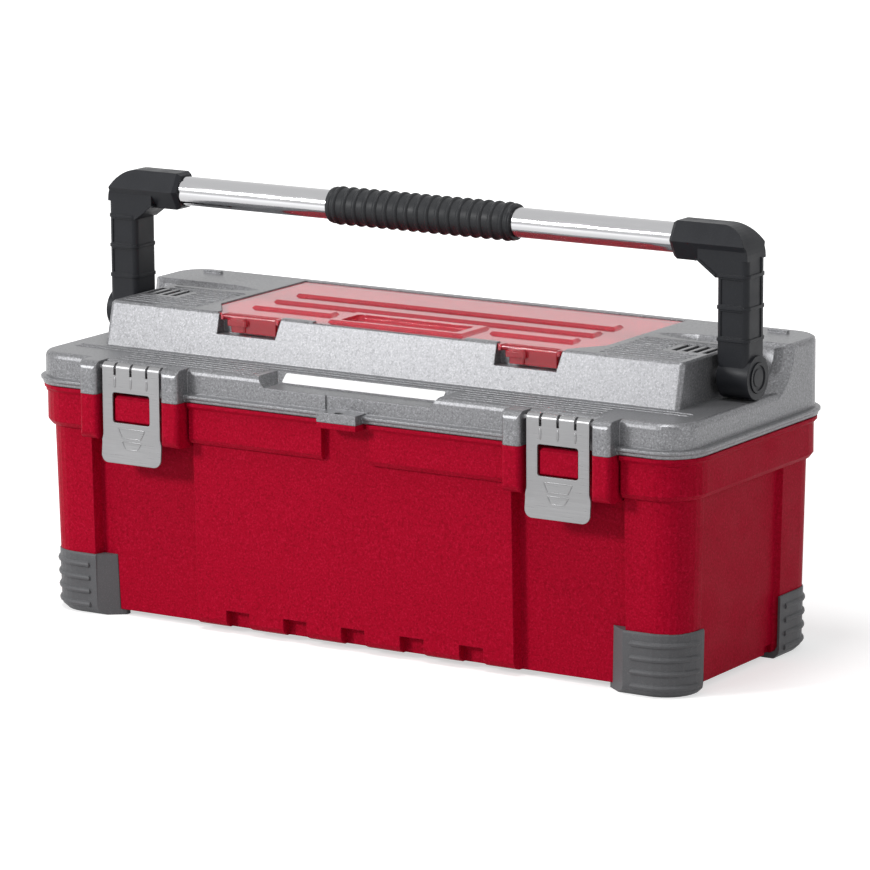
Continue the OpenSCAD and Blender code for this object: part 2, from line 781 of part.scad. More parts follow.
// The opening under the cover, grown by g
module well_plan(g) {
    hw = well_half_w + g;
    polygon([[-hw, well_y1 + g], [-hw, cover_y0 + corner_d + 2], [-hw + corner_w, well_y0 - g],
             [hw - corner_w, well_y0 - g], [hw, cover_y0 + corner_d + 2], [hw, well_y1 + g]]);
}

module cover_recess() {
    translate([0, 0, cover_z]) linear_extrude(far) cover_plan(recess_gap);
    block(-cover_half_w - recess_gap, cover_half_w + recess_gap, cover_axis_y - 1,
          cover_axis_y + cover_barrel_r + recess_gap, cover_z, top_z + 1);
    x_rod(cover_barrel_r + recess_gap, -cover_half_w - recess_gap, cover_half_w + recess_gap,
          cover_axis_y, cover_axis_z);
}

// The two notches in the housing's front where the cover's latches hang
module latch_notches() {
    for (s = [-1, 1])
        y_profile(housing_y0 - far, well_y0 - 2.5, [
            [s * flap_x - notch_half, top_z - flap_room], [s * flap_x + notch_half - 3, top_z - flap_room],
            [s * flap_x + notch_half + 1, top_z + 1], [s * flap_x - notch_half, top_z + 1]]);
}

module slots() {
    both_sides() for (i = [0 : slot_n - 1])
        block(housing_half_w - 6 - i * slot_pitch - slot_w / 2, housing_half_w - 6 - i * slot_pitch + slot_w / 2,
              pivot_y - 1.5 - slot_l / 2, pivot_y - 1.5 + slot_l / 2, top_z - 8, top_z + 1);
}

// Small bars on the rear corners of the platform
module corner_bars() {
    both_sides()
        block(half_w - 50, half_w - 32, lid_half_d - 21, lid_half_d - 17, top_z - 1, top_z + 2.4);
}

module lid() {
    color("silver") difference() {
        union() {
            difference() {
                lid_shell();
                finger_recess(0);
                troughs(0);
                difference() {
                    lid_room();
                    block(-well_half_w - lid_wall, well_half_w + lid_wall, well_y0 - 5, well_y1 + lid_wall,
                          insert_z - well_floor, top_z);
                    block(-cover_half_w - 8, cover_half_w + 8, well_y1 - 1, cover_axis_y + 9,
                          cover_axis_z - 6, top_z);
                    finger_recess(lid_wall);
                    troughs(lid_wall);
                    pivot_bosses();
                    for (s = [-1, 1])
                        block(s * flap_x - notch_half - 4, s * flap_x + notch_half + 4, housing_y0, well_y0 - 1,
                              top_z - flap_room - lid_wall, top_z);
                }
                translate([0, 0, insert_z]) linear_extrude(far) well_plan(0);
                cover_recess();
                latch_notches();
                slots();
                for (s = [-1, 1])
                    block(s * latch_x - bay_half_w, s * latch_x + bay_half_w, -half_d - far, -lid_half_d,
                          rim_z - 1, ledge_z);
            }
            lid_posts();
            lid_hinges();
            corner_bars();
            eye_plate(rim_z, rim_z + eye_lid_t, -lid_half_d + 1);
        }
        block(-eye_half_w - 1, eye_half_w - 1, -lid_half_d - 1, -lid_half_d + 1.4, rim_z + eye_lid_t, ledge_z - finger_d);
        x_rod(hinge_pin_r + run_gap, -half_w, half_w, hinge_y, hinge_z);
        for (s = [-1, 1], e = [-1, 1])
            translate([s * hinge_x + e * (lid_knuckle_w + tub_knuckle_w + 2 * knuckle_gap) / 2, 0, 0])
                x_rod(knuckle_r + 1, -tub_knuckle_w / 2 - knuckle_gap, tub_knuckle_w / 2 + knuckle_gap, hinge_y, hinge_z);
        for (s = [-1, 1])
            x_rod(latch_pin_r, s * latch_x - bay_half_w - post_w + 3, s * latch_x + bay_half_w + post_w - 3,
                  latch_pin_y, latch_pin_z);
        both_sides() {
            x_rod(pivot_r, housing_half_w - pivot_boss_l - 1, housing_half_w + 1, pivot_y, pivot_z);
            x_rod(cover_pin_r + run_gap, cover_half_w, cover_half_w + 6, cover_axis_y, cover_axis_z);
        }
        z_rod(eye_hole_r, 0, eye_y, 0, top_z);
    }
}

// Bare plate on the slope behind the finger recess
module name_plate() {
    slope = atan2(finger_d + 1, finger_d * 1.2);
    color("white") translate([0, finger_y, ledge_z - finger_d]) rotate([slope, 0, 0])
        translate([0, finger_d * 0.7, seat_gap / 2]) linear_extrude(0.6)
            round_rect(2 * finger_half_w - 6, finger_d * 1.1, 1.5);
}

// ---------------------------------------------------------------- organizer

module cells(x0, x1, y0, y1, z, n, gap, r) {
    w = (x1 - x0 - (n - 1) * gap) / n;
    for (i = [0 : n - 1])
        translate([x0 + i * (w + gap) + w / 2, (y0 + y1) / 2, 0])
            slab(w, y1 - y0, r, z, far);
}

module organizer_insert() {
    hw = well_half_w - seat_gap;
    color("crimson") difference() {
        translate([0, 0, insert_z]) linear_extrude(insert_h) well_plan(-seat_gap);
        cells(-hw + corner_w + insert_wall, hw - corner_w - insert_wall, well_y0 + seat_gap + insert_wall, row_split_y,
              insert_z + insert_wall, front_cells, insert_wall, 4);
        cells(-hw + insert_wall, hw - insert_wall, row_split_y + insert_wall, well_y1 - seat_gap - insert_wall,
              insert_z + insert_wall, back_cells, insert_wall, 4);
    }
}

// Raised rib on the cover with sloping ends
module cover_rib(x0, x1, y, w, h) {
    intersection() {
        y_profile(y - w / 2, y + w / 2, [
            [x0, cover_z + 1], [x1, cover_z + 1], [x1 - 4, cover_z + cover_t + h], [x0 + 4, cover_z + cover_t + h]]);
        x_profile(x0 - 1, x1 + 1, [
            [y - w / 2, cover_z + 1], [y + w / 2, cover_z + 1],
            [y + w / 2 - 2, cover_z + cover_t + h], [y - w / 2 + 2, cover_z + cover_t + h]]);
    }
}

module organizer_cover() {
    hw = cover_half_w;
    rib_half = hw - 30;
    pocket_half = hw - pocket_in;
    color("lightcoral") difference() {
        union() {
            translate([0, 0, cover_z]) linear_extrude(cover_t) cover_plan(0);
            x_rod(cover_barrel_r, -hw, hw, cover_axis_y, cover_axis_z);
            x_rod(cover_pin_r, -hw - 5, hw + 5, cover_axis_y, cover_axis_z);
            for (k = [0, 1]) cover_rib(-rib_half, rib_half, row_split_y + 34 - k * 34, 16, cover_rib_h);
            for (s = [-1, 1])
                cover_rib(min(s * rib_half, s * (pocket_half + 14)), max(s * rib_half, s * (pocket_half + 14)),
                          row_split_y - 34, 14, cover_rib_h);
            cover_rib(-pocket_half - 6, pocket_half + 6, row_split_y - 42, 44, cover_rib_h);
            for (s = [-1, 1]) {
                block(s * flap_x - flap_w / 2 - 3, s * flap_x - flap_w / 2 - 0.5, cover_y0 - 2.2, cover_y0 + 4,
                      flap_axis_z - flap_barrel_r, cover_z + cover_t);
                block(s * flap_x + flap_w / 2 + 0.5, s * flap_x + flap_w / 2 + 3, cover_y0 - 2.2, cover_y0 + 4,
                      flap_axis_z - flap_barrel_r, cover_z + cover_t);
            }
        }
        translate([0, row_split_y - 44, 0]) slab(2 * pocket_half - 10, 30, 4, cover_z + cover_t - 1, far);
        for (s = [-1, 1]) {
            block(s * flap_x - flap_w / 2 - 0.5, s * flap_x + flap_w / 2 + 0.5, cover_y0 - far, cover_y0 + 5.5,
                  cover_z - far, top_z + far);
            x_rod(1.2 + run_gap, s * flap_x - flap_w / 2 - 4, s * flap_x + flap_w / 2 + 4, flap_axis_y, flap_axis_z);
        }
    }
}

// Flap that holds the cover shut; its stubs turn in the cover's ears. A stepped finger grip stands
// at its left end and the plain plate fills the rest.
module cover_latch(s) {
    x0 = s * flap_x - flap_w / 2;
    x1 = s * flap_x + flap_w / 2;
    knob_x = x0 + knob_in + knob_w / 2;
    back_y = flap_axis_y + 0.5;
    color("red") union() {
        x_rod(flap_barrel_r, x0, x1, flap_axis_y, flap_axis_z);
        x_rod(1.2, x0 - 2.6, x1 + 2.6, flap_axis_y, flap_axis_z);
        x_profile(x0 + knob_in + knob_w - 3, x1, [
            [flap_axis_y - flap_barrel_r, flap_axis_z + 0.5], [flap_axis_y, flap_axis_z + flap_barrel_r],
            [back_y, flap_axis_z - 1], [back_y, flap_axis_z - flap_h],
            [flap_axis_y - flap_t, flap_axis_z - flap_h]]);
        for (k = [[0, 2.4, 1.6, 5.4], [1.6, 6.6, 0, 7], [6.6, flap_h - 0.4, 2.4, 5]])
            translate([knob_x, back_y - k[3] / 2, 0])
                slab(knob_w - 2 * k[2], k[3], 2.3, flap_axis_z - k[1], k[1] - k[0]);
    }
}

// ---------------------------------------------------------------- latches

module latch(s) {
    knuckle_slot = 2.4;
    slot_step = latch_w * 0.28;
    color("gainsboro") translate([s * latch_x, 0, 0]) difference() {
        union() {
            x_rod(latch_r, -latch_w / 2, latch_w / 2, latch_pin_y, latch_pin_z);
            intersection() {
                x_profile(-latch_w / 2 - latch_wide, latch_w / 2 + latch_wide, [
                    [latch_front_y, latch_pin_z], [latch_front_y + latch_t, latch_pin_z],
                    [latch_front_y + latch_t, latch_low_z + 16], [latch_front_y + latch_t - latch_flare, latch_low_z],
                    [latch_front_y - latch_flare, latch_low_z], [latch_front_y, latch_low_z + 16]]);
                y_profile(latch_front_y - latch_flare - 1, latch_pin_y, concat(
                    [for (e = [-1, 1]) [e * latch_w / 2, latch_pin_z + 1]],
                    [for (k = [[0, 24], [latch_wide, 19], [latch_wide, 0]]) [latch_w / 2 + k[0], latch_low_z + k[1]]],
                    [for (k = [[latch_wide, 0], [latch_wide, 19], [0, 24]]) [-latch_w / 2 - k[0], latch_low_z + k[1]]]));
            }
        }
        x_rod(latch_pin_r + run_gap, -half_w, half_w, latch_pin_y, latch_pin_z);
        y_plate(window_w, window_h, window_r, latch_front_y - 1, latch_pin_y, window_z);
        for (i = [-1 : 1])
            block(i * slot_step - knuckle_slot / 2, i * slot_step + knuckle_slot / 2,
                  latch_front_y - 1, latch_pin_y + latch_r + 1, latch_pin_z - latch_r - 1, latch_pin_z + latch_r + 1);
        for (e = [-1, 1])
            translate([e * (latch_w / 2 + latch_wide), 0, latch_low_z]) rotate([90, 0, 0])
                translate([0, 0, -post_y - far]) linear_extrude(2 * far) difference() {
                    square(2 * latch_corner, center = true);
                    translate([-e * latch_corner, latch_corner]) circle(latch_corner);
                    translate([-e * latch_corner, 2 * latch_corner]) square(2 * latch_corner, center = true);
                    translate([-e * 2 * latch_corner, latch_corner]) square(2 * latch_corner, center = true);
                }
    }
}

module latch_pin(s) {
    color("gray") x_rod(latch_pin_r - 0.02, s * latch_x - bay_half_w - post_w + 3.5,
                        s * latch_x + bay_half_w + post_w - 3.5, latch_pin_y, latch_pin_z);
}

// ---------------------------------------------------------------- handle

module arm_column(grow, z0, z1) {
    translate([(arm_in + arm_out) / 2, pivot_y, 0])
        slab(arm_w + 2 * grow, arm_d + 2 * grow, 5 + grow, z0, z1 - z0);
}

// Seen from the front, the arm's top with its rounded outer corner
module elbow_outline(x0, z0) {
    corner = 26;
    top = bar_z + sleeve_r;
    polygon(concat([[x0, z0], [x0, top]],
                   [for (a = [90 : -7.5 : 0]) [arm_out - corner * (1 - cos(a)), top - corner * (1 - sin(a))]],
                   [[arm_out, z0]]));
}

// Six-sided sleeve that holds the bar's end, with a ridge along its front, and the elbow it runs into
module sleeve() {
    r = sleeve_r / cos(30);
    intersection() {
        hull() for (k = [[0, r - 2.6, slice], [3.5, r, arm_out - sleeve_end - 6], [arm_out - sleeve_end - slice, r - 2, slice]])
            translate([sleeve_end + k[0], pivot_y, bar_z]) rotate([90, 0, 90]) linear_extrude(k[2])
                polygon([for (a = [0 : 60 : 300]) [k[1] * cos(a), k[1] * sin(a)]]);
        translate([0, pivot_y + far, 0]) rotate([90, 0, 0]) linear_extrude(2 * far)
            elbow_outline(sleeve_end - 1, bar_z - 2 * sleeve_r);
    }
}

// The arm's top and the web that fills its inner corner
module elbow_web() {
    translate([0, pivot_y + arm_d / 2, 0]) rotate([90, 0, 0]) linear_extrude(arm_d) intersection() {
        elbow_outline(arm_in, bar_z - 12);
        translate([arm_in, bar_z - 12]) square([arm_w, 14]);
    }
    y_profile(pivot_y - arm_d / 2, pivot_y + arm_d / 2, [
        [arm_in - 17, bar_z - 3], [arm_in - 17, bar_z - sleeve_r + 1.5],
        [arm_in, bar_z - sleeve_r - 11], [arm_in + 6, bar_z - sleeve_r - 11], [arm_in + 6, bar_z - 3]]);
    y_profile(pivot_y - arm_d / 2 - 0.8, pivot_y + arm_d / 2 + 0.8, [
        [arm_in - 19, bar_z - sleeve_r + 2.5], [arm_in - 19, bar_z - sleeve_r + 1], [arm_in - 17, bar_z - sleeve_r + 1.5],
        [arm_in, bar_z - sleeve_r - 11], [arm_in, bar_z - sleeve_r - 8], [arm_in - 15, bar_z - sleeve_r + 2.5]]);
}

module handle_arm() {
    band_z0 = pivot_z + boss_r + 12;
    band_step = 26;
    panel_in = 4.5;
    color([0.16, 0.17, 0.18]) difference() {
        union() {
            x_rod(boss_r, boss_in, boss_out, pivot_y, pivot_z);
            arm_column(0, pivot_z, bar_z - 11);
            block(arm_out - 1, arm_out + 0.9, pivot_y + arm_d / 2 - 8.4, pivot_y + arm_d / 2 - 6,
                  band_z0, bar_z - 11);
            sleeve();
            elbow_web();
            for (i = [0 : band_n - 1])
                arm_column(0.9, band_z0 + i * band_step, band_z0 + i * band_step + 2.6);
        }
        for (e = [-1, 1], i = [0 : 1 : band_n - 2])
            translate([(arm_in + arm_out) / 2, pivot_y + e * arm_d / 2, 0])
                block(-arm_w / 2 + panel_in, arm_w / 2 - panel_in, -1, 1,
                      band_z0 + i * band_step + 4, band_z0 + (i + 1) * band_step - 1.6);
        x_rod(bar_r + seat_gap / 2, sleeve_end - 1, sleeve_end + sleeve_l + 0.3, pivot_y, bar_z);
        x_rod(pivot_r + run_gap, arm_in - 1, boss_out - 4, pivot_y, pivot_z);
        x_rod(pivot_head_r + 0.4, boss_out - head_room, boss_out + 1, pivot_y, pivot_z);
        x_rod(cap_r + seat_gap, boss_out - cap_t, boss_out + 1, pivot_y, pivot_z);
    }
}

module pivot_cap() {
    color([0.12, 0.12, 0.13]) difference() {
        union() {
            x_rod(cap_r, boss_out - cap_t + seat_gap, boss_out + 1, pivot_y, pivot_z);
            x_rod(pivot_head_r, boss_out - cap_t - 1, boss_out, pivot_y, pivot_z);
        }
        difference() {
            x_rod(cap_r - 2.2, boss_out + 0.1, boss_out + 2, pivot_y, pivot_z);
            x_rod(cap_r - 5, boss_out - 1, boss_out + 0.7, pivot_y, pivot_z);
        }
    }
}

module handle_pivot() {
    color("gray") union() {
        x_rod(pivot_r - 0.02, housing_half_w - pivot_boss_l, boss_out - head_room + 2, pivot_y, pivot_z);
        x_rod(pivot_head_r, boss_out - head_room + seat_gap, boss_out - cap_t - 1.2, pivot_y, pivot_z);
    }
}

module handle_bar() {
    color("lightgray") difference() {
        x_rod(bar_r, -bar_half_l, bar_half_l, pivot_y, bar_z);
        x_rod(bar_r - bar_wall, -bar_half_l - 1, bar_half_l + 1, pivot_y, bar_z);
    }
}

module handle_grip() {
    pitch = 2 * (grip_half_l - grip_end) / (grip_rib_n - 1);
    rib_r = 2.6;
    color([0.15, 0.15, 0.16]) translate([0, pivot_y, bar_z]) rotate([0, 90, 0]) rotate_extrude() difference() {
        union() {
            translate([0, -grip_half_l]) square([grip_r - 1.4, 2 * grip_half_l]);
            for (i = [0 : grip_rib_n - 1])
                translate([grip_r - rib_r, (i - (grip_rib_n - 1) / 2) * pitch]) circle(rib_r);
            for (e = [-1, 1]) translate([grip_r - 3.4, e * (grip_half_l - 2.6)]) circle(2.6);
        }
        translate([-1, -grip_half_l - 1]) square([bar_r + seat_gap / 2 + 1, 2 * grip_half_l + 2]);
    }
}

// ---------------------------------------------------------------- cantilever tray

module cantilever_tray() {
    w = 2 * tray_half_w;
    row_y = tray_y1 - tray_wall - tray_row_d;
    color("dimgray") difference() {
        union() {
            translate([0, (tray_y0 + tray_y1) / 2, 0]) slab(w, tray_d, tray_r, tray_z, tray_h);
            both_sides() {
                x_rod(ear_r, tray_half_w - 4, tray_half_w, tray_pivot_y, tray_pivot_z);
                block(tray_half_w - 4, tray_half_w, tray_pivot_y - ear_r, tray_y1 - tray_r + 1, tray_top_z - 8, tray_pivot_z);
                x_rod(ear_r, tray_half_w - 6, tray_half_w, swing_end_y, swing_end_z);
            }
        }
        difference() {
            union() {
                cells(-tray_half_w + tray_wall, tray_half_w - tray_wall, tray_y0 + tray_wall, row_y - tray_wall,
                      tray_z + tray_floor, 2, tray_wall, tray_r - tray_wall);
                cells(-tray_half_w + tray_wall, tray_half_w - tray_wall, row_y, tray_y1 - tray_wall,
                      tray_z + tray_floor, tray_cells, tray_wall, tray_r - tray_wall);
            }
            both_sides() {
                x_rod(ear_r, tray_half_w - 6, tray_half_w, swing_end_y, swing_end_z);
                x_rod(ear_r, tray_half_w - 4, tray_half_w, tray_pivot_y, tray_pivot_z);
                block(tray_half_w - 4, tray_half_w, tray_pivot_y - ear_r, tray_y1 - tray_r + 1, tray_top_z - 8, tray_pivot_z);
            }
        }
        both_sides() {
            x_rod(rivet_r + run_gap, tray_half_w - 8, tray_half_w + 1, tray_pivot_y, tray_pivot_z);
            x_rod(rivet_r + run_gap, tray_half_w - 8, tray_half_w + 1, swing_end_y, swing_end_z);
        }
    }
}

// Flat steel link with round ends
module link_plate(ya, za, yb, zb) {
    a = atan2(zb - za, yb - ya);
    l = sqrt((yb - ya) * (yb - ya) + (zb - za) * (zb - za));
    difference() {
        union() {
            x_rod(swing_w / 2, link_x, link_x + steel_t, ya, za);
            x_rod(swing_w / 2, link_x, link_x + steel_t, yb, zb);
            translate([link_x, ya, za]) rotate([a, 0, 0])
                translate([0, 0, -swing_w / 2]) cube([steel_t, l, swing_w]);
        }
        children();
    }
}

module swing_arm() {
    color("slategray") link_plate(swing_base_y, swing_base_z, swing_end_y, swing_end_z) {
        x_rod(rivet_r + run_gap, link_x - 1, link_x + steel_t + 1, swing_base_y, swing_base_z);
        x_rod(rivet_r, link_x - 1, link_x + steel_t + 1, swing_end_y, swing_end_z);
    }
}

// Rivet with a head on the side given, shank outwards from the tray's wall
module rivet(x0, x1, y, z, head_x0, head_x1) {
    color("gray") union() {
        x_rod(rivet_r - 0.02, x0, x1, y, z);
        x_rod(rivet_r + 2, head_x0, head_x1, y, z);
    }
}

module swing_rivet() {
    rivet(tray_half_w - 5.8, link_x + steel_t, swing_end_y, swing_end_z, link_x + steel_t, link_x + steel_t + 0.7);
}

module swing_pivot() {
    rivet(link_x, link_x + steel_t + move_gap + 11, swing_base_y, swing_base_z, link_x - 0.8, link_x);
}

module tray_rivet() {
    rivet(tray_half_w - 3.8, link_x + steel_t, tray_pivot_y, tray_pivot_z, link_x + steel_t, link_x + steel_t + 1.2);
}

// Steel bracket that hangs from the lid's roof down to the tray
module tray_bracket() {
    roof_z = top_z - lid_wall;
    leg_w = swing_w + 4;
    leg_y = max(tray_pivot_y, cove_y + cove_r + 8);
    color("slategray") difference() {
        union() {
            x_rod(leg_w / 2, link_x, link_x + steel_t, tray_pivot_y, tray_pivot_z);
            x_profile(link_x, link_x + steel_t, [
                [tray_pivot_y - leg_w / 2, tray_pivot_z], [tray_pivot_y + leg_w / 2, tray_pivot_z],
                [leg_y + leg_w, roof_z - seat_gap], [leg_y, roof_z - seat_gap]]);
            block(link_x, link_x + 14, leg_y, leg_y + leg_w, roof_z - steel_t - seat_gap, roof_z - seat_gap);
        }
        x_rod(rivet_r, link_x - 1, link_x + steel_t + 1, tray_pivot_y, tray_pivot_z);
    }
}

module hinge_pin() {
    half_l = lid_knuckle_w / 2 + knuckle_gap + tub_knuckle_w;
    color("gray") x_rod(hinge_pin_r - 0.02, hinge_x - half_l, hinge_x + half_l, hinge_y, hinge_z);
}

// ---------------------------------------------------------------- nodes

tub();
padlock_tab();
foot(side_pillar_front);  // foot_front_right
mirror([1, 0, 0]) foot(side_pillar_front);  // foot_front_left
mirror([0, 1, 0]) foot(side_pillar_rear);  // foot_rear_right
rotate([0, 0, 180]) foot(side_pillar_rear);  // foot_rear_left
hinge_pin();  // hinge_pin_right
mirror([1, 0, 0]) hinge_pin();  // hinge_pin_left
swing_pivot();  // swing_pivot_right
mirror([1, 0, 0]) swing_pivot();  // swing_pivot_left
lid();
name_plate();
organizer_insert();
latch_pin(1);  // latch_pin_right
latch_pin(-1);  // latch_pin_left
handle_pivot();  // handle_pivot_right
mirror([1, 0, 0]) handle_pivot();  // handle_pivot_left
tray_bracket();  // tray_bracket_right
mirror([1, 0, 0]) tray_bracket();  // tray_bracket_left
tray_rivet();  // tray_rivet_right
mirror([1, 0, 0]) tray_rivet();  // tray_rivet_left
latch(1);  // latch_right
latch(-1);  // latch_left
organizer_cover();
cover_latch(1);  // cover_latch_right
cover_latch(-1);  // cover_latch_left
handle_bar();
handle_grip();
handle_arm();  // handle_arm_right
mirror([1, 0, 0]) handle_arm();  // handle_arm_left
pivot_cap();  // pivot_cap_right
mirror([1, 0, 0]) pivot_cap();  // pivot_cap_left
cantilever_tray();
swing_arm();  // swing_arm_right
mirror([1, 0, 0]) swing_arm();  // swing_arm_left
swing_rivet();  // swing_rivet_right
mirror([1, 0, 0]) swing_rivet();  // swing_rivet_left
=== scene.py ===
import json
import math
import bmesh
import bpy
from mathutils import Matrix, Vector


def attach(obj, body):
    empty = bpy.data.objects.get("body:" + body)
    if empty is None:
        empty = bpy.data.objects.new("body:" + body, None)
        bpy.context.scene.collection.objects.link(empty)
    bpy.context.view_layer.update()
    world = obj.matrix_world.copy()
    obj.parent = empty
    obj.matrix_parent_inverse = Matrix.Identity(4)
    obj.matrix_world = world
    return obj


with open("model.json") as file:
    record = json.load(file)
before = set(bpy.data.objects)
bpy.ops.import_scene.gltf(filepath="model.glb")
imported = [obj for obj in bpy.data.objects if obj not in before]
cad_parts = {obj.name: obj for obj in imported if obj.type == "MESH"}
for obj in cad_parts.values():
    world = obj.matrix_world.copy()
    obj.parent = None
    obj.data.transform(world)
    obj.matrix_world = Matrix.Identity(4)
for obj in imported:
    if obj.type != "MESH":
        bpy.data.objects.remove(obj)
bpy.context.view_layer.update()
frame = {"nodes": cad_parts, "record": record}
NODES = frame["nodes"]
MM = 0.001


# ---------------------------------------------------------------- camera

def make_camera():
    """Stands in front of the box, to its right and a little above, and looks at aim_z over the origin."""
    picture_px, f_px, sensor_mm = 870, 4980.63, 36
    shift_x, shift_y, dist, aim_z = -9.16, -13.69, 4177.76, 150
    az, el, roll = (math.radians(v) for v in (32.28, 11.70, -0.32))
    back = Vector((math.sin(az) * math.cos(el), -math.cos(az) * math.cos(el), math.sin(el)))
    right = Vector((math.cos(az), math.sin(az), 0))
    up = back.cross(right)
    r2 = right * math.cos(roll) + up * math.sin(roll)
    u2 = -right * math.sin(roll) + up * math.cos(roll)
    c = (Vector((0, 0, aim_z)) + dist * back - shift_x * r2 - shift_y * u2) * MM
    data = bpy.data.cameras.new("camera")
    data.sensor_width = sensor_mm
    data.lens = f_px * sensor_mm / picture_px
    data.clip_start, data.clip_end = 0.1, 200
    cam = bpy.data.objects.new("camera", data)
    cam.matrix_world = Matrix(((r2.x, u2.x, back.x, c.x), (r2.y, u2.y, back.y, c.y),
                               (r2.z, u2.z, back.z, c.z), (0, 0, 0, 1)))
    bpy.context.scene.collection.objects.link(cam)
    bpy.context.scene.camera = cam


make_camera()


# ---------------------------------------------------------------- materials

class Mat:
    """A principled material with a few helpers for procedural detail."""

    def __init__(self, name, color, rough=0.5, metal=0.0, **sockets):
        self.m = bpy.data.materials.new(name)
        self.m.use_nodes = True
        self.nt = self.m.node_tree
        self.p = self.nt.nodes["Principled BSDF"]
        self.color = color
        self.p.inputs["Base Color"].default_value = (*color, 1)
        self.p.inputs["Roughness"].default_value = rough
        self.p.inputs["Metallic"].default_value = metal
        for k, v in sockets.items():
            self.p.inputs[k.replace("_", " ")].default_value = v
        self.co = self.nt.nodes.new("ShaderNodeTexCoord").outputs["Object"]
        self.col = None
        self.height = None

    def noise(self, scale, detail=2.0, rough=0.5, stretch=None):
        co = self.co
        if stretch:
            mp = self.nt.nodes.new("ShaderNodeMapping")
            mp.inputs["Scale"].default_value = stretch
            self.nt.links.new(co, mp.inputs["Vector"])
            co = mp.outputs["Vector"]
        n = self.nt.nodes.new("ShaderNodeTexNoise")
        n.inputs["Scale"].default_value = scale
        n.inputs["Detail"].default_value = detail
        n.inputs["Roughness"].default_value = rough
        self.nt.links.new(co, n.inputs["Vector"])
        return n.outputs["Fac"]

    def ramp(self, fac, lo, hi, a=0.0, b=1.0):
        """Maps fac from lo..hi to a..b and clamps it there."""
        n = self.nt.nodes.new("ShaderNodeMapRange")
        n.inputs["From Min"].default_value = lo
        n.inputs["From Max"].default_value = hi
        n.inputs["To Min"].default_value = a
        n.inputs["To Max"].default_value = b
        self.nt.links.new(fac, n.inputs["Value"])
        return n.outputs["Result"]

    def tint(self, fac, color):
        """Mixes color into the base colour by fac."""
        n = self.nt.nodes.new("ShaderNodeMix")
        n.data_type = "RGBA"
        if self.col is None:
            n.inputs["A"].default_value = (*self.color, 1)
        else:
            self.nt.links.new(self.col, n.inputs["A"])
        n.inputs["B"].default_value = (*color, 1)
        self.nt.links.new(fac, n.inputs["Factor"])
        self.col = n.outputs["Result"]
        self.nt.links.new(self.col, self.p.inputs["Base Color"])
        return self

    def roughness(self, fac, a, b, lo=0.3, hi=0.7):
        """Varies the roughness from a to b as fac goes from lo to hi."""
        self.nt.links.new(self.ramp(fac, lo, hi, a, b), self.p.inputs["Roughness"])
        return self

    def bump(self, fac, dist_mm, strength=1.0):
        """Adds relief of dist_mm to what the surface has so far."""
        n = self.nt.nodes.new("ShaderNodeBump")
        n.inputs["Strength"].default_value = strength
        n.inputs["Distance"].default_value = dist_mm * MM
        self.nt.links.new(fac, n.inputs["Height"])
        if self.height is not None:
            self.nt.links.new(self.height, n.inputs["Normal"])
        self.height = n.outputs["Normal"]
        self.nt.links.new(self.height, self.p.inputs["Normal"])
        return self

    def edges(self, radius_mm):
        """Softens sharp edges, as moulded plastic has them. Call it before bump."""
        n = self.nt.nodes.new("ShaderNodeBevel")
        n.samples = 4
        n.inputs["Radius"].default_value = radius_mm * MM
        self.height = n.outputs["Normal"]
        self.nt.links.new(self.height, self.p.inputs["Normal"])
        return self


def red_plastic():
    m = Mat("red_plastic", (0.37, 0.0009, 0.018), 0.50, Specular_IOR_Level=0.05)
    m.edges(1.2)
    grain = m.noise(560, 2.0, 0.65)
    m.tint(m.ramp(grain, 0.50, 0.66, 0, 0.75), (0.50, 0.006, 0.036))
    m.tint(m.ramp(m.noise(470, 2.0, 0.65), 0.50, 0.34, 0, 0.75), (0.25, 0.0003, 0.010))
    m.tint(m.ramp(m.noise(9, 3.0), 0.4, 0.7, 0, 0.12), (0.31, 0.0005, 0.013))
    m.roughness(m.noise(40, 3.0), 0.45, 0.55)
    return m.bump(grain, 0.14, 0.6).m


def silver_plastic():
    m = Mat("silver_plastic", (0.180, 0.182, 0.190), 0.40, 0.50, Specular_IOR_Level=0.9)
    m.edges(1.2)
    flake = m.noise(640, 2.0, 0.65)
    m.tint(m.ramp(flake, 0.50, 0.68, 0, 0.75), (0.34, 0.34, 0.355))
    m.tint(m.ramp(m.noise(520, 2.0, 0.65), 0.50, 0.34, 0, 0.7), (0.085, 0.085, 0.093))
    m.tint(m.ramp(m.noise(14, 4.0), 0.45, 0.7, 0, 0.15), (0.18, 0.18, 0.195))
    m.roughness(flake, 0.32, 0.42)
    return m.bump(m.noise(1500, 2.0, 0.6), 0.08, 0.4).m


def dark_plastic(name, color, speck, rough):
    m = Mat(name, color, rough, Specular_IOR_Level=0.18)
    m.edges(0.9)
    grain = m.noise(1400, 2.0, 0.6)
    m.tint(m.ramp(grain, 0.52, 0.72, 0, 0.5), speck)
    m.tint(m.ramp(m.noise(30, 4.0), 0.45, 0.75, 0, 0.3), tuple(c * 1.35 for c in color))
    m.roughness(m.noise(60, 3.0), rough - 0.05, rough + 0.08)
    return m.bump(grain, 0.08, 0.5).m


def latch_steel():
    m = Mat("latch_steel", (0.27, 0.27, 0.275), 0.36, 0.6)
    m.edges(0.7)
    brush = m.noise(700, 3.0, 0.6, stretch=(0.04, 1, 1.6))
    m.tint(m.ramp(brush, 0.45, 0.75, 0, 0.4), (0.36, 0.36, 0.37))
    m.tint(m.ramp(m.noise(35, 4.0), 0.5, 0.75, 0, 0.2), (0.21, 0.21, 0.22))
    m.roughness(brush, 0.26, 0.42)
    return m.bump(brush, 0.03, 0.35).m


